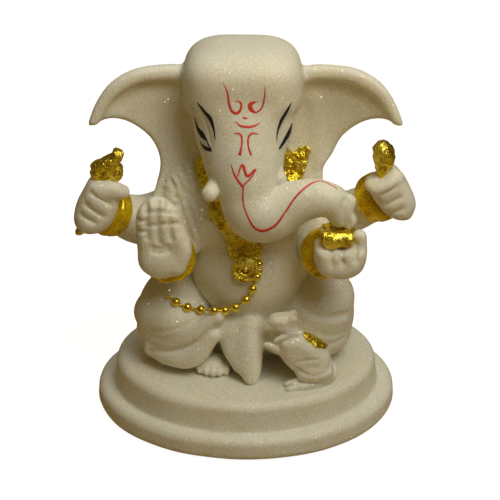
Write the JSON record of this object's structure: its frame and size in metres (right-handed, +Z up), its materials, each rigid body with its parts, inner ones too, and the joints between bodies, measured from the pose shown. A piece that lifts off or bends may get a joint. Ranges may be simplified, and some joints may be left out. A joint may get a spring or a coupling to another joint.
{
  "type": "elephant-headed deity figurine",
  "caption": "Seated four-armed elephant-headed figurine in white marble-dust resin with gilt ornaments, on a stepped oval plinth; stands on a desk, shelf or dashboard.",
  "frame": {"origin": "middle of the underside of the pad below the plinth, on the surface the idol stands on", "axes": "+Z up, -Y is the figure's front, +X is the figure's own left side"},
  "size_m": [0.0632, 0.047, 0.0758],
  "materials": {
    "marble_resin": "satin, fine crystalline sparkle",
    "gold_paint": "metallic gold paint on rough relief",
    "felt": "matte pad"
  },
  "bodies": {
    "root": {"base_plinth": "marble_resin", "felt_pad": "felt", "torso": "marble_resin", "right_leg": "marble_resin", "left_leg": "marble_resin", "right_foot": "marble_resin", "front_drape": "marble_resin", "head": "marble_resin", "trunk": "marble_resin", "right_ear": "marble_resin", "left_ear": "marble_resin", "right_tusk": "marble_resin", "left_tusk": "marble_resin", "right_upper_arm": "marble_resin", "left_upper_arm": "marble_resin", "right_lower_arm": "marble_resin", "left_lower_arm": "marble_resin", "right_upper_hand": "marble_resin", "left_upper_hand": "marble_resin", "right_lower_hand": "marble_resin", "left_lower_hand": "marble_resin", "right_upper_bangle": "gold_paint", "left_upper_bangle": "gold_paint", "right_lower_bangle": "gold_paint", "left_lower_bangle": "gold_paint", "axe": "gold_paint", "lotus_bud": "gold_paint", "laddu": "gold_paint", "necklace": "gold_paint", "pendant": "gold_paint", "bead_string": "gold_paint", "mouse_body": "marble_resin", "mouse_head": "marble_resin", "mouse_tail": "marble_resin", "mouse_saddle": "gold_paint"}
  },
  "joints": []
}
